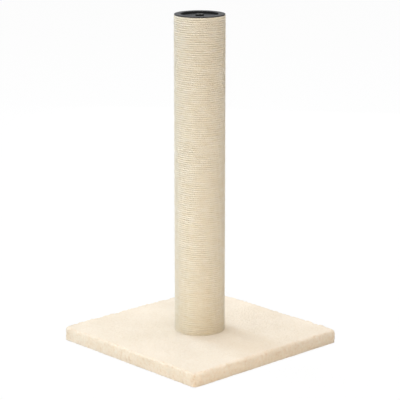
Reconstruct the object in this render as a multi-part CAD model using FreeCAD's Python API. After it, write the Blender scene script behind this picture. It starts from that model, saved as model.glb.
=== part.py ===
import FreeCAD, Part
import math
import os

from FreeCAD import Vector

# A cat scratching post: a rope-wound cardboard tube, closed by a moulded plug at each end, bolted from below
# through a square board that a plush cover wraps. Millimetres. The origin is on the floor, on the post's axis.

# Base board, particle board
board_side = 340.0
board_thickness = 16.0
board_corner_radius = 4.0

# Plush cover: one cloth over the top and the edges, turned in under the board
plush_thickness = 5.0
plush_under_post = 3.0
cover_edge_radius = 4.0
hem_thickness = 3.0
hem_width = 35.0
hem_fold_radius = 2.0
hem_mitre_gap = 1.0

# Staples that hold the hem
hem_staples_per_side = 5
hem_staple_crown = 12.0
hem_staple_leg = 9.0
hem_staple_inset = 17.0
hem_staple_end_margin = 45.0
hem_staple_depth = 0.4

# Staple wire, the same flat wire in the hem and on the rope
staple_wire_width = 1.2
staple_wire_thickness = 0.7
staple_clearance = 0.05

# Post
tube_length = 575.0
tube_bore_radius = 38.0
tube_wall = 3.5
rope_layer = 4.0
rope_layer_clearance = 0.1

# Rope turns under the top plug, and the staples at both ends of the rope
rope_pitch = 3.75
rope_diameter = 3.3
rope_turns = 24
rope_end_angle = 135.0
rope_end_clearance = 0.2
rope_gap_points_per_turn = 36
rope_staples_per_end = 2
rope_staple_crown = 8.0
rope_staple_spacing = 10.0
rope_staple_tip_margin = 0.3

# Plugs, two of the same moulding
plug_flange_setback = 0.7
plug_flange_thickness = 1.5
plug_flange_edge_radius = 0.6
plug_recess_radius = 33.5
plug_recess_depth = 4.5
plug_floor = 2.5
plug_spigot_length = 25.0
plug_spigot_wall = 2.5
plug_fit_clearance = 0.2
plug_hub_wall = 2.0
plug_hub_setback = 0.5
plug_ribs = 6
plug_rib_thickness = 2.0
plug_rib_height = 11.0

# Threaded inserts in the plugs, M8
insert_radius = 5.5
insert_bore_radius = 3.4
insert_length = 18.0
insert_setback = 0.3
insert_press_clearance = 0.03
insert_groove_depth = 0.5
insert_groove_width = 2.0
insert_grooves = 3

# Bolt and washer, M8 x 30
bolt_radius = 4.0
bolt_length = 30.0
bolt_head_flats = 13.0
bolt_head_height = 5.3
bolt_head_chamfer = 0.8
bolt_hole_clearance = 0.5
thread_clearance = 0.05
washer_radius = 12.0
washer_thickness = 2.0
washer_bore_clearance = 0.2
counterbore_clearance = 2.0
counterbore_depth = 8.0
cloth_hole_radius = 6.0
foot_recess_clearance = 0.5

# Levels, from the floor up
board_bottom = hem_thickness
board_top = board_bottom + board_thickness
cover_top = board_top + plush_thickness
post_foot = board_top + plush_under_post
tube_bottom = post_foot + plug_flange_thickness
tube_top = tube_bottom + tube_length
post_top = tube_top + plug_flange_thickness
counterbore_top = board_bottom + counterbore_depth
washer_bottom = counterbore_top - washer_thickness
insert_mouth = plug_hub_setback + insert_setback

# Radii round the post's axis
tube_radius = tube_bore_radius + tube_wall
post_radius = tube_radius + rope_layer
rope_path_radius = post_radius - rope_diameter / 2
hub_radius = insert_radius + plug_hub_wall
spigot_radius = tube_bore_radius - plug_fit_clearance
plug_flange_radius = post_radius - plug_flange_setback

# Plan of the base
cover_side = board_side + 2 * plush_thickness
cover_corner_radius = board_corner_radius + plush_thickness
hem_opening_side = board_side - 2 * hem_width

UP = Vector(0, 0, 1)
# How far a cutting tool runs on past the face that it leaves by
overrun = 1.0


def cylinder(radius, bottom, top):
    return Part.makeCylinder(radius, top - bottom, Vector(0, 0, bottom), UP)


def ring(outer, inner, bottom, top):
    return cylinder(outer, bottom, top).cut(cylinder(inner, bottom - overrun, top + overrun))


def centred_box(width, depth, bottom, top, x=0.0, y=0.0):
    return Part.makeBox(width, depth, top - bottom, Vector(x - width / 2, y - depth / 2, bottom))


def rounded_square(side, radius, bottom, top):
    block = centred_box(side, side, bottom, top)
    upright = [edge for edge in block.Edges if abs(edge.tangentAt(edge.FirstParameter).z) > 0.5]
    return block.makeFillet(radius, upright)


def edges_at(shape, level):
    tolerance = 1e-4
    return [e for e in shape.Edges if abs(e.BoundBox.ZMin - level) + abs(e.BoundBox.ZMax - level) < tolerance]


def spun(profile):
    """The solid that a closed outline of (radius, height) points makes round the post's axis."""
    points = [Vector(radius, 0, height) for radius, height in profile]
    return Part.Face(Part.makePolygon(points + points[:1])).revolve(Vector(), UP, 360)


def turned(shape, angle):
    copy = shape.copy()
    copy.rotate(Vector(), UP, angle)
    return copy


def staple(crown, leg, grow=0.0):
    """A staple with its crown along X on the plane z = 0 and its legs up, each face moved out by grow."""
    thickness, width = staple_wire_thickness + 2 * grow, staple_wire_width + 2 * grow
    top_of_legs = leg + grow
    parts = [centred_box(crown + 2 * grow, width, -grow, staple_wire_thickness + grow)]
    for side in (-1, 1):
        middle = side * (crown - staple_wire_thickness) / 2
        parts.append(centred_box(thickness, width, -grow, top_of_legs, x=middle))
    return parts[0].fuse(parts[1:]).removeSplitter()


def hem_staple_shapes(grow=0.0):
    """The staples of all four sides, sunk a little into the pile of the hem."""
    reach = cover_side / 2 - plush_thickness - hem_staple_end_margin
    step = 2 * reach / (hem_staples_per_side - 1)
    row = []
    for index in range(hem_staples_per_side):
        one = staple(hem_staple_crown, hem_staple_leg, grow)
        one.translate(Vector(-reach + index * step, hem_staple_inset - board_side / 2, hem_staple_depth))
        row.append(one)
    return [turned(one, quarter * 90) for quarter in range(4) for one in row]


def rope_staple_shapes(grow=0.0):
    """The staples at both ends of the rope, crowns along the rope and legs through it into the tube."""
    leg = post_radius - tube_bore_radius - rope_staple_tip_margin
    inset = math.degrees(rope_staple_crown / 2 / post_radius)
    step = math.degrees(rope_staple_spacing / post_radius)
    fall = rope_pitch * rope_staple_spacing / (2 * math.pi * post_radius)
    shapes = []
    for level, way in ((rope_start_level, 1), (tube_bottom + rope_pitch / 2, -1)):
        for index in range(rope_staples_per_end):
            one = staple(rope_staple_crown, leg, grow)
            one.rotate(Vector(), Vector(1, 0, 0), 90)
            one.translate(Vector(0, post_radius, level - way * index * fall))
            shapes.append(turned(one, rope_end_angle - 90 + way * (inset + index * step)))
    return shapes


# Rope

rope_start_level = tube_top - rope_end_clearance - rope_diameter / 2


def rope_point(turn):
    """A point of the rope's helix and its direction there, after so many turns down from the top end."""
    angle = math.radians(rope_end_angle) + 2 * math.pi * turn
    x, y = rope_path_radius * math.cos(angle), rope_path_radius * math.sin(angle)
    around = 2 * math.pi * rope_path_radius
    direction = Vector(-math.sin(angle) * around, math.cos(angle) * around, -rope_pitch)
    return Vector(x, y, rope_start_level - rope_pitch * turn), direction.normalize()


def arc_from(start, direction, end):
    """The arc that leaves start in the given direction and reaches end."""
    chord = end - start
    along = Vector(chord).normalize()
    outward = (direction - along * direction.dot(along)).normalize()
    half_angle = direction.getAngle(chord) / 2
    middle = start + chord / 2 + outward * (chord.Length / 2 * math.tan(half_angle))
    return Part.Arc(start, middle, end).toShape()


def biarc(start, start_way, end, end_way):
    """Two arcs that leave start along its direction, meet smoothly, and reach end along its own."""
    across, ways = end - start, start_way + end_way
    spread = 2 * (1 - start_way.dot(end_way))
    lean = across.dot(ways)
    reach = (math.sqrt(lean * lean + spread * across.dot(across)) - lean) / spread
    meeting = (start + end + (start_way - end_way) * reach) / 2
    first = arc_from(start, start_way, meeting)
    return [first, arc_from(end, end_way * -1, meeting)]


def rope_path():
    """The centre line of the turns: half-turn biarcs down the helix, with a straight diameter at each end."""
    first, first_way = rope_point(0)
    last, last_way = rope_point(rope_turns)
    edges = [Part.LineSegment(first - first_way * rope_diameter, first).toShape()]
    for half_turn in range(2 * rope_turns):
        start, end = rope_point(half_turn / 2), rope_point((half_turn + 1) / 2)
        edges += biarc(start[0], start[1], end[0], end[1])
    edges.append(Part.LineSegment(last, last + last_way * rope_diameter).toShape())
    return Part.Wire(Part.__sortEdges__(edges))


def least_gap(path):
    """The least gap of the rope to itself, between points of its centre line over half a turn apart."""
    turn_length = math.hypot(2 * math.pi * rope_path_radius, rope_pitch)
    points = path.discretize(Distance=turn_length / rope_gap_points_per_turn)
    apart = rope_gap_points_per_turn // 2
    nearest = min(
        a.distanceToPoint(b) for index, a in enumerate(points) for b in points[index + apart:]
    )
    return nearest - rope_diameter


def rope_turns_solid():
    path = rope_path()
    print(f"rope turns: least gap to itself {least_gap(path):.3f} mm")
    start, way = rope_point(0)
    start -= way * rope_diameter
    section = Part.Wire(Part.Circle(start, way, rope_diameter / 2).toShape())
    shell = Part.BRepOffsetAPI.MakePipeShell(path)
    shell.add(section)
    shell.build()
    shell.makeSolid()
    solid = shell.shape()
    expected = math.pi * (rope_diameter / 2) ** 2 * path.Length
    print(f"rope turns: volume {solid.Volume:.1f} mm3, section times length {expected:.1f} mm3")
    return solid


def sisal_rope():
    """The turns under the top plug as one tube, and the close-wound rest as a plain sleeve."""
    turns = rope_turns_solid()
    sleeve_top = rope_start_level - rope_turns * rope_pitch - rope_diameter / 2 - rope_end_clearance
    sleeve = ring(post_radius, tube_radius + rope_layer_clearance, tube_bottom, sleeve_top)
    holes = rope_staple_shapes(staple_clearance)
    return [turns.cut(holes[:rope_staples_per_end]), sleeve.cut(holes[rope_staples_per_end:])]


# Base


def base_board():
    board = rounded_square(board_side, board_corner_radius, board_bottom, board_top)
    bolt_hole = cylinder(bolt_radius + bolt_hole_clearance, board_bottom - overrun, board_top + overrun)
    counterbore = cylinder(washer_radius + counterbore_clearance, board_bottom - overrun, counterbore_top)
    return board.cut([bolt_hole, counterbore] + hem_staple_shapes(staple_clearance))


def plush_cover():
    cover = rounded_square(cover_side, cover_corner_radius, 0, cover_top)
    cover = cover.makeFillet(cover_edge_radius, edges_at(cover, cover_top))
    cover = cover.makeFillet(hem_fold_radius, edges_at(cover, 0))
    tools = [
        rounded_square(board_side, board_corner_radius, board_bottom, board_top),
        centred_box(hem_opening_side, hem_opening_side, -overrun, board_bottom),
        cylinder(cloth_hole_radius, board_bottom, cover_top + overrun),
        cylinder(post_radius + foot_recess_clearance, post_foot, cover_top + overrun),
    ]
    slit_start = hem_opening_side / 2 * math.sqrt(2) - hem_mitre_gap
    slit_end = (board_side / 2 - board_corner_radius) * math.sqrt(2)
    slit_middle = (slit_start + slit_end) / 2
    slit = centred_box(slit_end - slit_start, hem_mitre_gap, -overrun, board_bottom, x=slit_middle)
    tools += [turned(slit, 45 + quarter * 90) for quarter in range(4)]
    for one in hem_staple_shapes(staple_clearance):
        crown = one.BoundBox
        tools.append(one)
        below = Part.makeBox(crown.XLength, crown.YLength, hem_staple_depth + overrun)
        below.translate(Vector(crown.XMin, crown.YMin, -overrun))
        tools.append(below)
    return cover.cut(tools)


def base_bolt():
    across_corners = bolt_head_flats / math.cos(math.pi / 6)
    head_bottom = washer_bottom - bolt_head_height
    corners = [
        Vector(across_corners / 2 * math.cos(k * math.pi / 3), across_corners / 2 * math.sin(k * math.pi / 3), 0)
        for k in range(6)
    ]
    head = Part.Face(Part.makePolygon(corners + corners[:1])).extrude(UP * bolt_head_height)
    head.translate(UP * head_bottom)
    dome = spun([
        (0, head_bottom),
        (across_corners / 2 - bolt_head_chamfer, head_bottom),
        (across_corners / 2, head_bottom + bolt_head_chamfer * math.tan(math.pi / 6)),
        (across_corners / 2, washer_bottom),
        (0, washer_bottom),
    ])
    thread_start = post_foot + insert_mouth
    thread = cylinder(insert_bore_radius - thread_clearance, thread_start, washer_bottom + bolt_length)
    shank = cylinder(bolt_radius, washer_bottom, thread_start)
    return head.common(dome).fuse([shank, thread]).removeSplitter()


def bolt_washer():
    return ring(washer_radius, bolt_radius + washer_bore_clearance, washer_bottom, counterbore_top)


# Plugs and inserts, each modelled mouth up with the flange's outer face at z = 0


def plug():
    spigot_bore = spigot_radius - plug_spigot_wall
    floor_top, floor_bottom = -plug_recess_depth, -plug_recess_depth - plug_floor
    spigot_bottom = -plug_flange_thickness - plug_spigot_length
    hub_bottom = -insert_mouth - insert_length
    body = spun([
        (insert_radius + insert_press_clearance, -plug_hub_setback),
        (hub_radius, -plug_hub_setback),
        (hub_radius, floor_top),
        (plug_recess_radius, floor_top),
        (plug_recess_radius, 0),
        (plug_flange_radius, 0),
        (plug_flange_radius, -plug_flange_thickness),
        (spigot_radius, -plug_flange_thickness),
        (spigot_radius, spigot_bottom),
        (spigot_bore, spigot_bottom),
        (spigot_bore, floor_bottom),
        (hub_radius, floor_bottom),
        (hub_radius, hub_bottom),
        (insert_radius + insert_press_clearance, hub_bottom),
    ])
    rim = [e for e in edges_at(body, 0) if e.BoundBox.XMax > plug_recess_radius + plug_flange_edge_radius]
    body = body.makeFillet(plug_flange_edge_radius, rim)
    middle_radius = (hub_radius + spigot_bore) / 2
    overlap = (plug_hub_wall + plug_spigot_wall) / 2
    ribs = []
    for index in range(plug_ribs):
        rib = centred_box(
            spigot_bore - hub_radius + overlap, plug_rib_thickness,
            floor_bottom - plug_rib_height, floor_bottom, x=middle_radius,
        )
        ribs.append(turned(rib, index * 360 / plug_ribs))
    return body.fuse(ribs).removeSplitter()


def threaded_insert():
    top, bottom = -insert_mouth, -insert_mouth - insert_length
    body = ring(insert_radius, insert_bore_radius, bottom, top)
    step = insert_length / (insert_grooves + 1)
    for index in range(insert_grooves):
        middle = top - (index + 1) * step
        groove = ring(
            insert_radius + overrun, insert_radius - insert_groove_depth,
            middle - insert_groove_width / 2, middle + insert_groove_width / 2,
        )
        body = body.cut(groove)
    return body


def at_top(shape):
    shape.translate(UP * post_top)
    return shape


def at_foot(shape):
    shape.rotate(Vector(), Vector(1, 0, 0), 180)
    shape.translate(UP * post_foot)
    return shape


def core_tube():
    tube = ring(tube_radius, tube_bore_radius, tube_bottom, tube_top)
    return tube.cut(rope_staple_shapes(staple_clearance))


nodes = {
    "base_board": [base_board()],
    "plush_cover": [plush_cover()],
    "hem_staples": hem_staple_shapes(),
    "base_bolt": [base_bolt()],
    "bolt_washer": [bolt_washer()],
    "bottom_plug": [at_foot(plug())],
    "bottom_insert": [at_foot(threaded_insert())],
    "core_tube": [core_tube()],
    "sisal_rope": sisal_rope(),
    "rope_staples": rope_staple_shapes(),
    "top_plug": [at_top(plug())],
    "top_insert": [at_top(threaded_insert())],
}

os.makedirs("parts", exist_ok=True)
for name, shapes in nodes.items():
    solids = [solid for shape in shapes for solid in shape.Solids]
    whole = solids[0] if len(solids) == 1 else Part.makeCompound(solids)
    whole.exportStep(f"parts/{name}.step")
    box = whole.BoundBox
    print(
        f"{name}: {len(solids)} solid(s), valid {whole.isValid()}, {whole.Volume:.0f} mm3,"
        f" z {box.ZMin:.2f} to {box.ZMax:.2f}, x {box.XMin:.2f} to {box.XMax:.2f}"
    )
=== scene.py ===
import math

import bpy
import numpy as np
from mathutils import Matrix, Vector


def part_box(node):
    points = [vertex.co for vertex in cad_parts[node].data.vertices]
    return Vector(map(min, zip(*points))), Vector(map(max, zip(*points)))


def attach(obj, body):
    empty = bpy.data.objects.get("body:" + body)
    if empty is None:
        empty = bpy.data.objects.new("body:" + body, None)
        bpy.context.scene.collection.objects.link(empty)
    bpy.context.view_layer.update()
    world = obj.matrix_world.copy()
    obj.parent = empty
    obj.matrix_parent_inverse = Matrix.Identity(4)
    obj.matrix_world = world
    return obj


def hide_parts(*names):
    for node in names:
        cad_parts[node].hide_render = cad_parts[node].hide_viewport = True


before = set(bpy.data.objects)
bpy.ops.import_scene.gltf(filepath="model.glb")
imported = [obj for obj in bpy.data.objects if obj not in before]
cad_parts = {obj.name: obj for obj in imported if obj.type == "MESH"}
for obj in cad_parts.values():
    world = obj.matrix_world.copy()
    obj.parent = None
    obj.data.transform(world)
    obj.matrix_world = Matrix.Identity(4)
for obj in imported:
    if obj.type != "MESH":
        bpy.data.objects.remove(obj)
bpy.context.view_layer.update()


# Base board. A square of raw particle board, sawn to size and drilled for one bolt, with a counterbore
# below for its head. Pale and brown chips lie flat in it, so its sawn edges show them as thin layers.

def colour(red, green, blue):
    """A colour as it is seen, in parts of 255, as the linear values that a shader takes. The sRGB curve
    is a straight line in its darkest part, and above that a power of 2.4."""
    seen = np.array([red, green, blue]) / 255
    linear = np.where(seen <= 0.04045, seen / 12.92, ((seen + 0.055) / 1.055) ** 2.4)
    return (*linear.tolist(), 1.0)


def finish(name, **uniform):
    """A material with one Principled shader, and on its own sockets the values that are the same all
    over."""
    made = bpy.data.materials.new(name)
    made.use_nodes = True
    shader = made.node_tree.nodes["Principled BSDF"]
    for socket, value in uniform.items():
        shader.inputs[socket.replace("_", " ")].default_value = value
    return made


def add(made, kind, inputs=None, **settings):
    """A new node in a material or world, its inputs given as values or as other nodes' outputs. Returns its
    outputs."""
    fresh = made.node_tree.nodes.new("ShaderNode" + kind)
    for key, value in settings.items():
        setattr(fresh, key, value)
    for key, value in (inputs or {}).items():
        if isinstance(value, bpy.types.NodeSocket):
            made.node_tree.links.new(value, fresh.inputs[key])
        else:
            fresh.inputs[key].default_value = value
    return fresh.outputs


def feed(made, **sockets):
    """Leads node outputs to sockets of a material's Principled shader."""
    shader = made.node_tree.nodes["Principled BSDF"]
    for socket, output in sockets.items():
        made.node_tree.links.new(output, shader.inputs[socket.replace("_", " ")])


def object_place(made, stretch=(1, 1, 1)):
    """Object coordinates in metres, multiplied along each axis, which makes a pattern finer along it."""
    place = add(made, "TexCoord")["Object"]
    return add(made, "Mapping", {"Vector": place, "Scale": stretch})["Vector"]


def noise(made, place, size, detail=2.0, rough=0.5):
    """Cloudy noise about 0.5, whose blotches are about that many metres across."""
    inputs = {"Vector": place, "Scale": 1 / size, "Detail": detail, "Roughness": rough}
    return add(made, "TexNoise", inputs)["Fac"]


def shades(made, factor, *stops):
    """A blend of colours by a factor, from (position, colour) stops."""
    outputs = add(made, "ValToRGB", {"Fac": factor})
    ramp = made.node_tree.nodes[-1].color_ramp
    while len(ramp.elements) < len(stops):
        ramp.elements.new(0.5)
    for element, (position, tint) in zip(ramp.elements, stops):
        element.position = position
        element.color = tint
    return outputs["Color"]


def mixed(made, factor, first, second, how="MIX"):
    """Two colours mixed by a factor."""
    inputs = {0: factor, 6: first, 7: second}
    return add(made, "Mix", inputs, data_type="RGBA", blend_type=how)[2]


def bump(made, height, depth, strength=1.0, over=None):
    """A normal bumped by a height of 0 to 1 that stands for depth in metres, over an earlier bump if
    given."""
    inputs = {"Height": height, "Distance": depth, "Strength": strength}
    if over is not None:
        inputs["Normal"] = over
    return add(made, "Bump", inputs)["Normal"]


def dress(node, made):
    """Gives a CAD piece its finish."""
    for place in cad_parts[node].material_slots:
        place.material = made


def particle_board():
    """Flat chips as cells of random tone, thinner in height than they are wide, with fine wood dust mixed
    in."""
    made = finish("particle_board", Roughness=0.78)
    flat = object_place(made, stretch=(1, 1, 2.5))
    chip_size = 0.0065
    chips = add(made, "TexVoronoi", {"Vector": flat, "Scale": 1 / chip_size, "Randomness": 1.0})
    dust = noise(made, flat, size=0.0016, detail=3.0, rough=0.6)
    chance = add(made, "SeparateColor", {"Color": chips["Color"]})["Red"]
    wood = shades(
        made, chance, (0.0, colour(176, 138, 96)), (0.45, colour(201, 166, 121)),
        (0.8, colour(219, 188, 146)), (1.0, colour(150, 110, 70)),
    )
    grain = shades(made, dust, (0.3, colour(150, 112, 74)), (0.55, colour(226, 198, 158)))
    feed(made, Base_Color=mixed(made, 0.45, wood, grain))
    relief = bump(made, dust, depth=0.0004, strength=0.6)
    feed(made, Normal=bump(made, chips["Distance"], depth=0.0005, strength=0.25, over=relief))
    return made


dress("base_board", particle_board())


# Bolt and washer. A zinc-plated M8 hexagon bolt goes up through the board into the plug in the foot of
# the post, on a flat washer at the top of the counterbore. The plating is bright, finely brushed and a
# little cloudy.

def zinc(name, shade, rough):
    """Plated steel: clouds of the shade and a darker one, and fine brush marks that vary how rough it
    is."""
    made = finish(name, Metallic=1.0)
    cloud = noise(made, object_place(made), size=0.003, detail=3.0)
    brushed = noise(made, object_place(made, stretch=(1, 1, 9)), size=0.0006)
    darker = tuple(0.72 * part for part in shade[:3]) + (1.0,)
    feed(made, Base_Color=shades(made, cloud, (0.35, darker), (0.65, shade)))
    smear = add(made, "MapRange", {"Value": brushed, 3: rough * 0.75, 4: rough * 1.35})[0]
    feed(made, Roughness=smear, Normal=bump(made, brushed, depth=0.00004, strength=0.4))
    return made


bright_zinc = zinc("bright_zinc", colour(196, 198, 200), rough=0.32)
dress("base_bolt", bright_zinc)
dress("bolt_washer", bright_zinc)


# Plush cover. One square of short cream plush is laid over the board, pulled down over its edges, turned
# in under it with its corners cut to mitres, and stapled there. The pile is soft and lumpy, and stands
# out along the edges.

mm = 0.001
cover_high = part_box("plush_cover")[1]
board_low, board_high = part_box("base_board")
cover_reach, cover_top = cover_high[0], cover_high[2]
board_reach, board_bottom, board_top = board_high[0], board_low[2], board_high[2]
post_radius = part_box("sisal_rope")[1][0]
plush_hole_radius = 6 * mm
plush_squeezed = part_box("bottom_plug")[0][2] - 0.05 * mm
cloth_skin = cover_reach + 0.5 * mm
cloth_level = cover_top + 0.2 * mm
corner_radius = 9 * mm
hem_width = 35 * mm
hem_reach = board_reach - hem_width
staple_wire = 1.2 * mm
staple_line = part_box("hem_staples")[1][0] - staple_wire / 2
staple_places = np.array([0, 62.5, 125]) * mm


def waves(points, length, count, draw):
    """Smooth lumps about as wide as length, of size 1: the sum of plane sine waves in random directions and
    phases, over the root of their count."""
    ways = draw.normal(size=(count, points.shape[-1]))
    ways /= np.linalg.norm(ways, axis=1, keepdims=True)
    lengths = length * draw.uniform(0.7, 1.6, count)
    phases = draw.uniform(0, 2 * math.pi, count)
    turns = points @ (ways / lengths[:, None]).T * 2 * math.pi + phases
    return np.sin(turns).sum(axis=-1) / math.sqrt(count)


def eased(share):
    """A share of 0 to 1 with a soft start and end: its square, times three less twice the share."""
    return share * share * (3 - 2 * share)


def build(name, points, faces, **layers):
    """A smooth mesh object from an (n, 3) array of points and arrays of corner numbers, with named
    layers: a layer of two columns is a UV map, given by point, and a layer of one column is a float on
    each point."""
    mesh = bpy.data.meshes.new(name)
    mesh.vertices.add(len(points))
    mesh.vertices.foreach_set("co", np.ascontiguousarray(points, np.float32).ravel())
    corners = np.concatenate([group.ravel() for group in faces]).astype(np.int32)
    sizes = np.concatenate([np.full(len(group), group.shape[1]) for group in faces])
    mesh.loops.add(len(corners))
    mesh.loops.foreach_set("vertex_index", corners)
    mesh.polygons.add(len(sizes))
    mesh.polygons.foreach_set("loop_start", (np.cumsum(sizes) - sizes).astype(np.int32))
    mesh.polygons.foreach_set("use_smooth", np.ones(len(sizes), bool))
    mesh.update(calc_edges=True)
    for layer, values in layers.items():
        if values.ndim == 2:
            flat = mesh.uv_layers.new(name=layer)
            flat.data.foreach_set("uv", values[corners].astype(np.float32).ravel())
        else:
            place = mesh.attributes.new(layer, "FLOAT", "POINT")
            place.data.foreach_set("value", values.astype(np.float32))
    made = bpy.data.objects.new(name, mesh)
    bpy.context.scene.collection.objects.link(made)
    return made


def grid_faces(rows, columns, close_rows=False, close_columns=False):
    """The corner numbers of a grid's squares, joined end to start along the rows or the columns if
    asked."""
    row = np.arange(rows if close_rows else rows - 1)[:, None]
    column = np.arange(columns if close_columns else columns - 1)[None, :]
    below, right = (row + 1) % rows, (column + 1) % columns
    corners = [
        row * columns + column, row * columns + right, below * columns + right, below * columns + column,
    ]
    whole = (row.shape[0], column.shape[1])
    return np.stack([np.broadcast_to(corner, whole) for corner in corners], axis=-1).reshape(-1, 4)


def grid_normals(points, close_rows, close_columns):
    """Unit normals of a grid of points, from the cross product of its two directions."""
    def slope(axis, closed):
        """The change from the point before to the point after, along one direction of the grid."""
        if closed:
            return np.roll(points, -1, axis) - np.roll(points, 1, axis)
        return np.gradient(points, axis=axis)
    normal = np.cross(slope(1, close_columns), slope(0, close_rows))
    return normal / np.maximum(np.linalg.norm(normal, axis=-1, keepdims=True), 1e-12)


def arc(centre, radius, start, end, count):
    """Points (reach, height) of an arc in the section, from start to end in degrees."""
    angle = np.radians(np.linspace(start, end, count))
    return np.stack([centre[0] + radius * np.cos(angle), centre[1] + radius * np.sin(angle)], axis=1)


def line(start, end, count):
    """Points (reach, height) along a straight stretch of the section, without its end."""
    return np.linspace(start, end, count, endpoint=False)


def cover_section():
    """The cloth's closed section from the bolt hole outwards: pressed flat under the post, up round its
    foot, over the top, round the edge and down, round the fold and in under the board, then back along
    the board. Returns its (reach, height) points, and for each point how much the pile lumps there."""
    foot = post_radius - 0.25 * mm
    edge = 4.4 * mm
    fold = 1.6 * mm
    side_top, side_foot = cloth_level - edge - 1.6 * mm, fold + 1 * mm
    hem_level = 0.1 * mm
    hem_round, hem_middle = 1.4 * mm, 1.5 * mm
    stapled_out, stapled_in = staple_line + 4.5 * mm, staple_line - 4.5 * mm
    slack = 0.05 * mm
    beside_board = board_reach + 0.1 * mm
    round_foot = np.array([
        (foot - 0.25 * mm, plush_squeezed + 0.1 * mm),
        (foot, plush_squeezed + 0.6 * mm),
        (foot, cloth_level - 0.3 * mm),
        (foot + 0.15 * mm, cloth_level + 0.2 * mm),
        (foot + 0.8 * mm, cloth_level + 0.45 * mm),
        (foot + 2.2 * mm, cloth_level + 0.4 * mm),
        (foot + 4.4 * mm, cloth_level + 0.2 * mm),
        (foot + 7.2 * mm, cloth_level + 0.05 * mm),
    ])
    stretches = [
        (line((plush_hole_radius, plush_squeezed), (foot - 1 * mm, plush_squeezed), 5), 0.0),
        (round_foot, 0.12),
        (line((foot + 10 * mm, cloth_level), (cloth_skin - edge, cloth_level), 62), 0.3),
        (arc((cloth_skin - edge, cloth_level - edge), edge, 90, 0, 8), 1.0),
        (line((cloth_skin + 0.2 * mm, side_top), (cloth_skin, side_foot), 8), 1.0),
        (arc((cloth_skin - fold, fold + hem_level), fold, 0, -90, 6), 0.8),
        (line((cloth_skin - fold - 2 * mm, hem_level), (stapled_out, hem_level), 5), 0.0),
        (line((stapled_out, hem_level), (stapled_in, hem_level), 12), 0.0),
        (line((stapled_in, hem_level), (hem_reach + hem_round, hem_level), 5), 0.0),
        (arc((hem_reach + hem_round, hem_middle), hem_round, 270, 90, 7), 0.0),
        (line((hem_reach + 4 * mm, board_bottom - slack), (board_reach, board_bottom - slack), 5), 0.0),
        (line((beside_board, board_bottom), (beside_board, board_top), 4), 0.0),
        (line((board_reach, board_top + slack), (plush_hole_radius, board_top + slack), 10), 0.0),
        (np.array([(plush_hole_radius, board_top + slack)]), 0.0),
    ]
    section = np.concatenate([points for points, _ in stretches])
    lumps = np.concatenate([np.full(len(points), lump) for points, lump in stretches])
    return section, lumps


def cover_rings(section, side_steps, corner_steps):
    """Carries the section round the base. Each ring is a rounded square of its point's reach, along four
    sides and round four corners, and is drawn in to a circle near the post. Its corners grow wider with
    the way inward on top of the board, and tighter with it below. Returns a grid of points, one row for
    each ring."""
    reach, height = section[:, :1], section[:, 1:]
    side = np.linspace(-1, 1, side_steps, endpoint=False)
    swing = np.linspace(0, math.pi / 2, corner_steps, endpoint=False)
    along = np.concatenate([side, np.ones(corner_steps)])[None, :]
    turn = np.concatenate([np.zeros(side_steps), swing])[None, :]
    inward = cover_reach - reach
    corner = np.where(height < board_bottom, 7 * mm - 0.14 * inward, corner_radius + 0.35 * inward)
    corner = np.clip(corner, 1.5 * mm, reach)
    across = reach - corner + corner * np.cos(turn)
    away = (reach - corner) * along + corner * np.sin(turn)
    square = np.stack([across, away], axis=-1)
    circle = square / np.linalg.norm(square, axis=-1, keepdims=True) * reach[..., None]
    clear_of_post, blend_width = 8 * mm, 100 * mm
    squareness = np.clip((reach - post_radius - clear_of_post) / blend_width, 0, 1)[..., None]
    quarter = circle + (square - circle) * eased(squareness)
    x, y = quarter[..., 0], quarter[..., 1]
    flat = np.concatenate([
        np.stack([x, y], -1), np.stack([-y, x], -1), np.stack([-x, -y], -1), np.stack([y, -x], -1)
    ], axis=1)
    return np.concatenate([flat, np.broadcast_to(height, flat.shape[:2])[..., None]], axis=-1)


def plush(name, tuft):
    """Cream pile: cloudy in tone and flecked clump by clump, which is painted shade of the leaning pile,
    and pale to sandy by each point's own tone, which holds painted shade on the edge and in the gathers,
    with the soft edge light of short fibres. The cloth below the tufts also has bumps of both sizes."""
    made = finish(
        name, Roughness=0.95, Sheen_Weight=0.25, Sheen_Roughness=0.4, Sheen_Tint=colour(255, 246, 230),
        Specular_IOR_Level=0.15,
    )
    place = object_place(made)
    # Painted shade of the leaning pile: broad clouds and small flecks of tone.
    cloudy = noise(made, place, size=0.055)
    clump = noise(made, place, size=0.0042, detail=3.0, rough=0.6)
    own = add(made, "Attribute", attribute_name="tone")["Fac"]
    tone = shades(made, cloudy, (0.3, colour(241, 233, 219)), (0.7, colour(246, 239, 227)))
    fleck = shades(made, clump, (0.25, colour(242, 229, 209)), (0.55, colour(255, 252, 246)))
    # The point's own tone with its painted shade of the edge and the gathers, from sandy to pale.
    lean = shades(
        made, own, (0.0, colour(220, 190, 152)), (0.5, colour(250, 240, 226)), (1.0, colour(255, 254, 250)),
    )
    tone = mixed(made, 0.35, tone, fleck, "MULTIPLY")
    feed(made, Base_Color=mixed(made, 0.45, tone, lean, "MULTIPLY"))
    if not tuft:
        fibre = noise(made, place, size=0.0009, rough=0.7)
        relief = bump(made, clump, depth=0.0012, strength=0.55)
        feed(made, Normal=bump(made, fibre, depth=0.0006, strength=0.8, over=relief))
    return made


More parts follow.
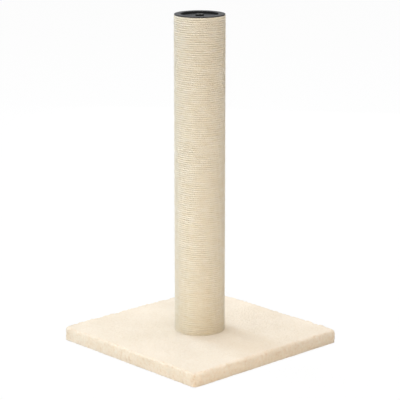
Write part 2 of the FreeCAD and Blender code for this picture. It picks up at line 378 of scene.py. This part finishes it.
def gathered(places, depths, width):
    """Upright creases where the cloth was gathered on its way under the board: round dents along the edge
    of the cover, at ways round it in metres. They are as deep as given halfway down the side, shallower at
    the fold and gone where the top turns down."""
    outline = cover_points[np.argmax(section[:, 0])]
    stride = np.linalg.norm(np.roll(outline, -1, 0) - outline, axis=1)
    around = np.cumsum(stride) - stride
    nearest = around[None, :] - np.array(places)[:, None]
    nearest -= np.round(nearest / stride.sum()) * stride.sum()
    dents = (np.array(depths)[:, None] * np.exp(-(nearest / width) ** 2)).sum(axis=0)
    fade_top, fade_height, fold_height = cloth_level - 1 * mm, 10 * mm, 5 * mm
    fade = np.clip((fade_top - section[:, 1]) / fade_height, 0, 1) * on_edge[:, 0]
    fade *= np.clip(section[:, 1] / fold_height, 0.25, 1)
    return fade[:, None] * dents[None, :]


def stapled(points):
    """How far each staple presses the hem up: a flat dent as long and wide as its crown, with soft ends and
    sides. A point's smaller reach is its way along its side, and its larger one its way out."""
    half_crown, half_wire, soft, depth = 6 * mm, 0.8 * mm, 2.8 * mm, 0.9 * mm
    reach = np.abs(points[..., :2])
    along = np.abs(reach.min(axis=-1)[..., None] - staple_places).min(axis=-1)
    across = np.abs(reach.max(axis=-1) - staple_line)
    away = np.hypot(np.maximum(along - half_crown, 0), np.maximum(across - half_wire, 0))
    return depth * eased(np.clip(1 - away / soft, 0, 1))


draw = np.random.default_rng(7)
section, lumps = cover_section()
cover_points = cover_rings(section, side_steps=136, corner_steps=18)
rows, columns = cover_points.shape[:2]
out = grid_normals(cover_points, True, True)
on_edge = (lumps > 0.7)[:, None]
on_top = (lumps > 0.1) & (lumps < 0.9)

# The pile's relief: small and broad lumps, and long ones along the rolled edge, all calmer near the fold.
small = waves(cover_points, 7 * mm, 60, draw)
broad = waves(cover_points * np.array([1, 1, 0.35]), 26 * mm, 40, draw)
rolled = waves(cover_points[..., :2], 70 * mm, 30, draw)
calm_height = 9 * mm
steady = np.where(on_edge, np.clip(section[:, 1:] / calm_height, 0.25, 1), 1)
lift = lumps[:, None] * (0.6 * mm * small + 0.3 * mm * broad)
lift += on_edge * (0.3 * mm * broad + 0.35 * mm * rolled)
lift *= steady

# The gathers: three in the middle of the front left side and one at the front corner, which the photograph
# shows, then chance ones, and three at each corner.
side_length = 2 * cover_reach - 2 * corner_radius + corner_radius * math.pi / 2
chance_count, corner_offsets = 26, (-14 * mm, -6 * mm, 5 * mm)
seen_creases = [
    3.5 * side_length - 15 * mm, 3.5 * side_length - 4 * mm, 3.5 * side_length + 7 * mm,
    4 * side_length - 3 * mm,
]
chance_creases = draw.uniform(0, 4 * side_length, chance_count)
corner_creases = [side_length * corner + offset for corner in range(4) for offset in corner_offsets]
creases = np.concatenate([seen_creases, chance_creases, corner_creases])
chance_depths = draw.uniform(0.2 * mm, 0.6 * mm, chance_count)
seen_depths = np.full(len(seen_creases), 0.9 * mm)
corner_depths = np.full(len(corner_creases), 0.7 * mm)
depths = np.concatenate([seen_depths, chance_depths, corner_depths])
dents = gathered(creases, depths, width=1.9 * mm)
lift -= dents

# How pale each point is, from 0 to 1: even on the top and speckled on the edge, with painted shade that is
# sandier and darker on the edge than on the top, and darker still in the gathers.
speckle = waves(cover_points, 6 * mm, 60, draw)
paleness_and_painted_shade = np.where(on_edge, 0.64 + 0.26 * speckle - 0.5 * dents / mm, 0.92 + 0.04 * speckle)

# The hem under the board: a groove along each mitre, and the dents of the staples.
mitre_depth, mitre_width = 2.4 * mm, 1.1 * mm
plan = np.abs(cover_points[..., :2])
diagonal = np.abs(plan[..., 0] - plan[..., 1]) / math.sqrt(2)
on_hem = (cover_points[..., 2] < 0.5 * mm) & (plan.max(axis=-1) < cover_reach - 6 * mm)
cover_points = cover_points + out * lift[..., None]
cover_points[..., 2] += on_hem * mitre_depth * np.exp(-(diagonal / mitre_width) ** 2)
cover_points[..., 2] += on_hem * stapled(cover_points)
off_floor = 0.02 * mm
cover_points[..., 2] = np.maximum(cover_points[..., 2], off_floor)

# Each point's tone on the cloth, which holds the painted shade of the edge and the gathers.
cloth_tone_and_shade = np.clip(paleness_and_painted_shade, 0, 1).ravel()
cloth_faces = grid_faces(rows, columns, True, True)
cover = build("plush_cloth", cover_points.reshape(-1, 3), [cloth_faces], tone=cloth_tone_and_shade)
cover.data.materials.append(plush("plush_pile", False))
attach(cover, "root")
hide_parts("plush_cover")


def pile_tufts(name, count, weight, long, wide, lean, draw):
    """Clumps of pile as slim three-sided spikes. Each stands on a random point of the cloth, picked by
    area and by the given weight of its row, and leans over by a random amount. Its tone is the cloth's,
    painted shade and all, give or take."""
    next_row, next_column = np.roll(cover_points, -1, 0), np.roll(cover_points, -1, 1)
    area = np.linalg.norm(np.cross(next_row - cover_points, next_column - cover_points), axis=-1)
    area = area * weight[:, None]
    picked = draw.choice(area.size, count, p=(area / area.sum()).ravel())
    row, column = np.divmod(picked, columns)
    down, across = draw.uniform(size=(2, count, 1))
    right = (column + 1) % columns
    below = (row + 1) % rows

    def between(grid):
        """A grid's values at the picked points, blended from the four corners of each one's square."""
        first = grid[row, column] * (1 - across) + grid[row, right] * across
        second = grid[below, column] * (1 - across) + grid[below, right] * across
        return first * (1 - down) + second * down

    foot, up = between(cover_points), between(out)
    up /= np.linalg.norm(up, axis=1, keepdims=True)
    side = np.cross(up, draw.normal(size=(count, 3)))
    side /= np.linalg.norm(side, axis=1, keepdims=True)
    other = np.cross(up, side)
    length = long * draw.uniform(0.55, 1.25, (count, 1))
    width = wide * draw.uniform(0.7, 1.3, (count, 1))
    heading = up + draw.normal(size=(count, 3)) * lean
    tip = foot + length * heading / np.linalg.norm(heading, axis=1, keepdims=True)
    root_depth, off_floor = 0.4 * mm, 0.05 * mm
    angles = np.arange(3) * 2 * math.pi / 3
    ring = [foot - up * root_depth + width * (side * math.cos(a) + other * math.sin(a)) for a in angles]
    points = np.stack(ring + [tip], axis=1).reshape(-1, 3)
    points[:, 2] = np.maximum(points[:, 2], off_floor)
    start = np.arange(count)[:, None] * 4
    sides = ((0, 1, 3), (1, 2, 3), (2, 0, 3), (0, 2, 1))
    faces = np.concatenate([start + np.array(corners) for corners in sides])
    scatter = 0.14
    # The tuft's tone: the cloth's tone with its painted shade of the edge and the gathers, and random
    # scatter.
    own = between(paleness_and_painted_shade[..., None])[:, 0] + draw.normal(0, scatter, count)
    tufts = build(name, points, [faces], tone=np.repeat(np.clip(own, 0, 1), 4))
    tufts.data.materials.append(tuft_finish)
    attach(tufts, "root")
    return tufts


tuft_finish = plush("plush_tufts", True)
tuft_count, tuft_lean = 46000, 0.5
pieces = [pile_tufts("pile_edge", tuft_count, on_edge[:, 0], 2.3 * mm, 0.32 * mm, tuft_lean, draw)]
for index in range(3):
    pieces.append(pile_tufts(f"pile_top_{index}", tuft_count, on_top, 1.8 * mm, 0.28 * mm, tuft_lean, draw))


# Hem staples. Twenty flat-wire staples, five a side, hold the turned-in edge of the plush to the
# underside of the board. They are galvanised, dull and slightly cloudy.

staple_zinc = zinc("staple_zinc", colour(170, 172, 174), rough=0.42)
dress("hem_staples", staple_zinc)


# Bottom plug and its insert. The same black moulding as the top plug, pressed into the foot of the tube,
# with a threaded insert that takes the bolt. Both are hidden once the post stands on the base.

def moulded_black(name):
    """Satin black plastic: a fine even grain, and faint flow marks that are slightly lighter and
    rougher."""
    made = finish(name, Specular_IOR_Level=0.22)
    place = object_place(made)
    grain = noise(made, place, size=0.00035, rough=0.6)
    flow = noise(made, place, size=0.012)
    feed(made, Base_Color=shades(made, flow, (0.35, colour(30, 30, 31)), (0.7, colour(39, 39, 39))))
    feed(made, Roughness=add(made, "MapRange", {"Value": flow, 3: 0.52, 4: 0.68})[0])
    feed(made, Normal=bump(made, grain, depth=0.00006, strength=0.5))
    return made


dull_zinc = zinc("dull_zinc", colour(112, 111, 107), rough=0.5)
black_plastic = moulded_black("black_plastic")
dress("bottom_plug", black_plastic)
dress("bottom_insert", dull_zinc)


# Core tube. Brown kraft paper wound in a spiral and glued into a stiff tube, the seat of the rope and the
# plugs. Its plies leave a faint slanting seam. It shows only where the first and last turns of rope end.

def scaled(made, first, second, how="MULTIPLY"):
    """Two numbers put together, as a product unless told otherwise."""
    return add(made, "Math", {0: first, 1: second}, operation=how)[0]


def kraft():
    """Pulpy brown paper, and a thin dark seam wherever the height plus the seam's climb at that way round
    is a whole number of the climb of one turn."""
    made = finish("kraft_board", Roughness=0.85)
    climb, seam_width = 0.11, 0.0012
    parts = add(made, "SeparateXYZ", {"Vector": add(made, "TexCoord")["Object"]})
    angle = scaled(made, parts["Y"], parts["X"], "ARCTAN2")
    rise = scaled(made, parts["Z"], scaled(made, angle, climb / (2 * math.pi)), "ADD")
    seam = scaled(made, scaled(made, rise, climb, "FLOORED_MODULO"), seam_width, "LESS_THAN")
    pulp = noise(made, object_place(made), size=0.0022, detail=4.0, rough=0.65)
    board = shades(made, pulp, (0.3, colour(160, 124, 86)), (0.7, colour(186, 150, 108)))
    feed(made, Base_Color=mixed(made, scaled(made, seam, 0.5), board, colour(110, 82, 54)))
    feed(made, Normal=bump(made, pulp, depth=0.0002, strength=0.5))
    return made


dress("core_tube", kraft())


# Sisal rope. Some forty metres of undyed three-strand rope, wound on the tube in about 150 close turns
# and glued. The strands twist round each other, press flat against their neighbours and shed fine, pale
# fibres.

tube_low, tube_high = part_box("core_tube")
rope_pitch = 3.75 * mm
rope_radius = 1.98 * mm
rope_lay = 12.5 * mm
rope_start_angle = math.radians(135)
rope_top = tube_high[2] - rope_radius
rope_bottom = tube_low[2] + rope_radius
rope_turns = round((rope_top - rope_bottom) / rope_pitch) + 1
rope_drop = (rope_top - rope_bottom) / (rope_turns - 1)
level_turns = 22
steps_per_turn = 216
section_points = 12
rope_path_radius = post_radius - rope_radius + 0.05 * mm
turn_length = math.hypot(2 * math.pi * rope_path_radius, rope_pitch)
rope_length = rope_turns * turn_length


def fallen(turns):
    """How many pitches the rope has come down after some turns. It is a plain helix in the middle.
    Towards each end the turns grow level, and come down in one short step at the back, so the first lies
    flush under the flange and the last flush on the cloth."""
    step_start = 0.84
    whole = np.minimum(np.floor(turns), rope_turns - 1)
    step = np.clip((turns - whole - step_start) / (1 - step_start), 0, 1) * (whole < rope_turns - 1)
    level = whole + eased(step)
    near_end = np.clip(1 - np.minimum(turns, rope_turns - turns) / level_turns, 0, 1)
    helix = turns * (rope_turns - 1) / rope_turns
    return helix + (level - helix) * near_end


def twisted_rope(along):
    """The rope's surface at ways along it from the top: a helix down the tube, carrying a section of
    three round lobes that turns once in each lay and is pressed a little taller than wide. The path, the
    thickness and the twist wander a little. Returns a row of section points for each way."""
    lobe_depth, lobe_roundness, pressed = 0.2, 1.4, 1.1
    turns = along / turn_length
    angle = rope_start_angle + turns * 2 * math.pi
    height = rope_top - fallen(turns) * rope_drop
    place = np.stack([np.cos(angle) * rope_path_radius, np.sin(angle) * rope_path_radius, height], axis=1)
    clear_of_ends = np.clip(np.minimum(turns, rope_turns - turns) / 2, 0, 1)
    height = height + (wander_up(along) + drift_up(place)) * clear_of_ends
    thick = rope_radius * (1 + wander_thick(along))
    radius = rope_path_radius - np.abs(wander_in(along))
    lobe = np.arange(section_points) * 2 * math.pi / section_points
    twist = along / rope_lay * 2 * math.pi + wander_twist(along)
    spread = thick[:, None] * (1 - lobe_depth * (1 - np.abs(np.cos(1.5 * lobe))) ** lobe_roundness)
    face = lobe[None, :] + twist[:, None]
    reach = radius[:, None] + spread * np.cos(face)
    level = height[:, None] + spread * np.sin(face) * pressed
    return np.stack([reach * np.cos(angle)[:, None], reach * np.sin(angle)[:, None], level], -1)


def wanderer(length, size, draw):
    """A smooth random function of the way along the rope, of about that wavelength and size: the sum of
    sine waves of random phases."""
    count = 48
    rates = 2 * math.pi / (length * draw.uniform(0.6, 1.8, count))
    phases = draw.uniform(0, 2 * math.pi, count)

    def value(along):
        """The sum at ways along the rope, over the root of half the count."""
        total = np.zeros_like(along)
        for rate, phase in zip(rates, phases):
            total += np.sin(along * rate + phase)
        return total * size / math.sqrt(count / 2)
    return value


def drifter(length, size, draw):
    """A smooth random function of the place, of about that wavelength and size, so that turns side by
    side move together: the sum of plane sine waves of random directions and phases."""
    count = 24
    ways = draw.normal(size=(count, 3))
    lengths = length * draw.uniform(0.6, 1.8, (count, 1))
    ways /= np.linalg.norm(ways, axis=1, keepdims=True) * lengths / (2 * math.pi)
    phases = draw.uniform(0, 2 * math.pi, count)

    def value(place):
        """The sum at places in metres, over the root of half the count."""
        return np.sin(place @ ways.T + phases).sum(axis=1) * size / math.sqrt(count / 2)
    return value


draw = np.random.default_rng(11)
wander_thick = wanderer(30 * mm, 0.022, draw)
wander_in = wanderer(45 * mm, 0.07 * mm, draw)
wander_up = wanderer(60 * mm, 0.045 * mm, draw)
drift_up = drifter(70 * mm, 0.22 * mm, draw)
wander_twist = wanderer(90 * mm, 0.35, draw)


def sisal(name):
    """Undyed sisal: pale straw threads, long and narrow on the strand map, times a broad drift of tone,
    with the threads raised a little."""
    made = finish(
        name, Roughness=0.8, Sheen_Weight=0.12, Sheen_Roughness=0.5, Sheen_Tint=colour(255, 246, 225),
        Specular_IOR_Level=0.25,
    )
    strand = add(made, "UVMap", uv_map="strand")["UV"]
    stretched = add(made, "Mapping", {"Vector": strand, "Scale": (170, 26, 1)})["Vector"]
    threads = noise(made, stretched, size=1.0, detail=3.0, rough=0.6)
    batches = noise(made, object_place(made, stretch=(1, 1, 3)), size=0.016)
    pale = shades(
        made, threads, (0.28, colour(214, 204, 182)), (0.48, colour(234, 227, 212)),
        (0.7, colour(242, 238, 229)),
    )
    drift = shades(made, batches, (0.3, colour(250, 246, 236)), (0.7, colour(255, 254, 251)))
    feed(made, Base_Color=mixed(made, 1.0, pale, drift, "MULTIPLY"))
    feed(made, Normal=bump(made, threads, depth=0.00035, strength=0.7))
    return made


# The rope is one length, cut into five pieces for their size. The strand map has the way along a piece in
# metres, and the way round the rope from 1 to 0 and back, so it meets itself without a seam.
sisal_finish = sisal("sisal_fibre")
rope_parts = 5
total_steps = rope_turns * steps_per_turn
cuts = np.linspace(0, total_steps, rope_parts + 1).astype(int)
ring = np.arange(section_points)
after = (ring + 1) % section_points
roundabout = np.abs(ring / section_points - 0.5) * 2
for part in range(rope_parts):
    along = np.arange(cuts[part], cuts[part + 1] + 1) / total_steps * rope_length
    surface = twisted_rope(along)
    count = len(along)
    ends = np.stack([surface[0].mean(axis=0), surface[-1].mean(axis=0)])
    points = np.concatenate([surface.reshape(-1, 3), ends])
    last = (count - 1) * section_points
    start_middle = np.full(section_points, count * section_points)
    start_cap = np.stack([start_middle, ring, after], axis=1)
    end_cap = np.stack([start_middle + 1, last + after, last + ring], axis=1)
    sides = grid_faces(count, section_points, False, True)
    lengthways = np.repeat(along - along[0], section_points)
    strand = np.stack([lengthways, np.tile(roundabout, count)], axis=1)
    strand = np.concatenate([strand, [[0, 0], [lengthways[-1], 0]]])
    faces = [sides[:, ::-1], start_cap[:, ::-1], end_cap[:, ::-1]]
    rope = build(f"sisal_winding_{part}", points, faces, strand=strand)
    rope.data.materials.append(sisal_finish)
    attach(rope, "root")
    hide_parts("sisal_rope")


def hairs(name, count, long, thick, lift, draw):
    """Loose fibres: slim three-sided hairs of three straight stretches, rooted just inside the winding's
    skin. Each runs along the rope one way or the other, slants and lifts by random amounts, and bends away
    as the square of its way."""
    along = draw.uniform(0, rope_length, count)
    angle = rope_start_angle + along / turn_length * 2 * math.pi
    height = rope_top - fallen(along / turn_length) * rope_drop
    lean = draw.uniform(-0.9, 0.9, count)
    outward = np.stack([np.cos(angle), np.sin(angle), np.zeros(count)], axis=1)
    around = np.stack([-np.sin(angle), np.cos(angle), np.zeros(count)], axis=1)
    up = np.array([0.0, 0.0, 1.0])
    root_way = outward * np.cos(lean)[:, None] + up * np.sin(lean)[:, None]
    root_depth, slant, bending = 0.8, 0.55, 0.45
    axis = outward * rope_path_radius
    axis[:, 2] = height
    root = axis + root_way * rope_radius * root_depth
    spin = draw.choice([-1.0, 1.0], count)[:, None]
    slanted = around * spin + up * draw.normal(0, slant, (count, 1))
    way = slanted + root_way * draw.uniform(0.15, lift, (count, 1))
    way /= np.linalg.norm(way, axis=1, keepdims=True)
    bend = outward * draw.uniform(0.1, 0.9, (count, 1)) + up * draw.normal(0, 0.5, (count, 1))
    length = (long * draw.lognormal(0, 0.45, count))[:, None]
    levels = np.array([0, 0.35, 0.7, 1.0])
    spine = np.stack([root + length * (way * t + bend * bending * t * t) for t in levels], axis=1)
    side = np.cross(way, outward)
    side /= np.maximum(np.linalg.norm(side, axis=1, keepdims=True), 1e-9)
    other = np.cross(way, side)
    angles = [corner * 2 * math.pi / 3 for corner in range(3)]
    rings = []
    for level, radius in enumerate(thick * np.array([1.0, 0.85, 0.6])):
        rings += [spine[:, level] + radius * (side * math.cos(a) + other * math.sin(a)) for a in angles]
    points = np.stack(rings + [spine[:, 3]], axis=1).reshape(-1, 3)
    faces = []
    for level in range(2):
        for corner in range(3):
            a, b = level * 3 + corner, level * 3 + (corner + 1) % 3
            faces += [(a, b, b + 3), (a, b + 3, a + 3)]
    faces += [(6, 7, 9), (7, 8, 9), (8, 6, 9), (0, 2, 1)]
    start = np.arange(count)[:, None] * 10
    corners = np.concatenate([start + np.array(face) for face in faces])
    made = build(name, points, [corners])
    made.data.materials.append(fibre_finish)
    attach(made, "root")
    return made


def loose_fibre():
    """Pale straw that drifts in tone from fibre to fibre."""
    made = finish("loose_fibre", Roughness=0.7, Specular_IOR_Level=0.3)
    tone = noise(made, object_place(made), size=0.008)
    feed(made, Base_Color=shades(made, tone, (0.35, colour(206, 188, 150)), (0.65, colour(240, 230, 205))))
    return made


fibre_finish = loose_fibre()
hairs("short_fuzz", 9000, long=2.2 * mm, thick=0.055 * mm, lift=0.9, draw=draw)
hairs("stray_fibres", 420, long=6.5 * mm, thick=0.075 * mm, lift=1.6, draw=draw)


# Rope staples. Two flat-wire staples at each end of the rope pin it to the tube, at the back of the post.
# They are of the same galvanised wire as the staples of the hem.

dress("rope_staples", staple_zinc)


# Top plug and its insert. A black moulded plug closes the post's open end: a flat flange over the rope, a
# shallow round recess with a raised hub in the middle, and a threaded insert in the hub. Its edges are
# slightly rounded.

def fillet(profile, radii, steps=4):
    """A closed section of straight lines with its corners rounded: each corner gives way to points of a
    quadratic curve that starts and ends at its radius from the corner."""
    points = np.array(profile)
    before, after = np.roll(points, 1, 0), np.roll(points, -1, 0)
    rounded = []
    for point, previous, following, radius in zip(points, before, after, radii):
        back, ahead = previous - point, following - point
        start = point + back / np.linalg.norm(back) * min(radius, 0.45 * np.linalg.norm(back))
        end = point + ahead / np.linalg.norm(ahead) * min(radius, 0.45 * np.linalg.norm(ahead))
        t = np.linspace(0, 1, steps + 1)[:, None]
        rounded.append((1 - t) ** 2 * start + 2 * t * (1 - t) * point + t * t * end)
    return np.concatenate(rounded)


def lathe(section, count=160):
    """A closed section of (radius, height) points, turned once round the post's axis."""
    angle = np.arange(count) * 2 * math.pi / count
    radius, height = section[:, 0][:, None], section[:, 1][:, None]
    x, y = radius * np.cos(angle), radius * np.sin(angle)
    return np.stack([x, y, np.broadcast_to(height, x.shape)], axis=-1)


# The section in millimetres from the axis and from the flange's top: the hub, the recess, the flange, the
# spigot that goes into the tube, and the floor's underside. The last column is how far each corner is
# rounded.
plug_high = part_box("top_plug")[1]
flange = plug_high[0] / mm
insert_bore, hub, recess, spigot_inside, spigot = 5.53, 7.5, 33.5, 35.3, 37.8
plug_profile = np.array([
    (insert_bore, -0.5, 0.25), (hub, -0.5, 0.5), (hub, -4.5, 0.4), (recess, -4.5, 0.5), (recess, 0, 0.5),
    (flange, 0, 0.6), (flange, -1.5, 0.3), (spigot, -1.5, 0.3), (spigot, -26.5, 0.6),
    (spigot_inside, -26.5, 0.3), (spigot_inside, -7, 0.8), (hub, -7, 0.8), (hub, -18.8, 0.3),
    (insert_bore, -18.8, 0.3),
])
plug_section = fillet(plug_profile[:, :2] * mm + np.array([0, plug_high[2]]), plug_profile[:, 2] * mm)
turned = lathe(plug_section)
turned_faces = grid_faces(turned.shape[0], turned.shape[1], True, True)
plug = build("plug_moulding", turned.reshape(-1, 3), [turned_faces])
plug.data.materials.append(black_plastic)
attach(plug, "root")
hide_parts("top_plug")
dress("top_insert", dull_zinc)


# Studio. A white floor that keeps a faint shadow of the object, one broad lamp overhead, a small one
# behind to the left, low strips at the left, front and back, and the camera at the photograph's distance,
# height and angle.

azimuth = math.radians(46.95)
right = np.array([math.cos(azimuth), math.sin(azimuth), 0])
back = np.array([-math.sin(azimuth), math.cos(azimuth), 0])
up = np.array([0, 0, 1.0])
white = (1, 1, 1, 1)


def seen_ray(made):
    """1 for the camera's rays and for those that a mirror or glass passes on, 0 for all others."""
    path = add(made, "LightPath")
    seen = scaled(made, path["Is Camera Ray"], path["Is Glossy Ray"], "MAXIMUM")
    return scaled(made, seen, path["Is Transmission Ray"], "MAXIMUM")


def whitened(name, shade, share):
    """A pale surface that the camera sees nearly white, while its own light and shadow stay as they are."""
    made = finish(name, Base_Color=shade, Roughness=0.9, Specular_IOR_Level=0.1)
    glow = add(made, "Emission", {"Color": white, "Strength": 1.0})["Emission"]
    shader = made.node_tree.nodes["Principled BSDF"].outputs["BSDF"]
    blend = add(made, "MixShader", {0: scaled(made, seen_ray(made), share), 1: shader, 2: glow})["Shader"]
    made.node_tree.links.new(blend, made.node_tree.nodes["Material Output"].inputs["Surface"])
    return made


floor_reach = 14.0
corners = np.array([(-1, -1, 0), (1, -1, 0), (1, 1, 0), (-1, 1, 0)]) * floor_reach
floor = build("floor", corners, [np.array([[0, 1, 2, 3]])])
floor.data.materials.append(whitened("white_floor", colour(246, 246, 246), 0.97))

world = bpy.data.worlds.new("studio")
bpy.context.scene.world = world
world.use_nodes = True
ambient = world.node_tree.nodes["Background"]
ambient.inputs["Color"].default_value = (1, 0.87, 0.7, 1)
ambient.inputs["Strength"].default_value = 0.09
clean = add(world, "Background", {"Color": white})["Background"]
choose = add(world, "MixShader", {0: seen_ray(world), 1: ambient.outputs[0], 2: clean})["Shader"]
world.node_tree.links.new(choose, world.node_tree.nodes["World Output"].inputs["Surface"])


def look(place, aim):
    """The turn that points a lamp at place towards aim, upright."""
    away = place - aim
    tilt = math.atan2(math.hypot(away[0], away[1]), away[2])
    return (tilt, 0, math.atan2(away[0], -away[1]))


def lamp(name, place, aim, measure, power, tint):
    """An area lamp of that width and height in metres, at a place and turned to what it lights."""
    light = bpy.data.lights.new(name, "AREA")
    light.shape = "RECTANGLE"
    light.size, light.size_y = measure
    light.energy = power
    light.color = tint
    made = bpy.data.objects.new(name, light)
    bpy.context.scene.collection.objects.link(made)
    made.location = place.tolist()
    made.rotation_euler = look(place, aim)
    made.visible_camera = False
    return made


middle = np.array([0, 0, 0.25])
lamp("softbox", middle + up * 3.2, middle, (3.2, 3.2), 143, (1.01, 1.0, 1.02))
lamp("key", middle - right * 1.1 + back * 1.16 + up * 2.77, middle, (0.6, 0.6), 27, (0.78, 1.0, 1.28))
low = up * 0.16
lamp("left_strip", low - right * 1.27 - back * 0.46, low, (0.8, 0.25), 5.0, (0.88, 1.0, 1.08))
lamp("front_strip", low + right * 0.12 - back * 1.34, low, (0.8, 0.25), 4.5, (1.22, 1.0, 0.74))
lamp("back_strip", up * 0.36 + right * 0.3 + back * 2.2, up * 0.3, (1.2, 0.6), 10, (1.1, 1.0, 0.88))

focal_pixels = 1685.7
frame_pixels = 400
camera_distance = 2.929
camera_height = 0.9944
camera_aside = 0.0005
camera_pitch = math.radians(13.98)
sensor = 36.0
eye = bpy.data.cameras.new("camera")
eye.sensor_width = sensor
eye.lens = focal_pixels / frame_pixels * sensor
camera = bpy.data.objects.new("camera", eye)
bpy.context.scene.collection.objects.link(camera)
camera.location = (-back * camera_distance + up * camera_height + right * camera_aside).tolist()
camera.rotation_euler = (math.pi / 2 - camera_pitch, 0, azimuth)
bpy.context.scene.camera = camera
bpy.context.scene.view_settings.view_transform = "Standard"
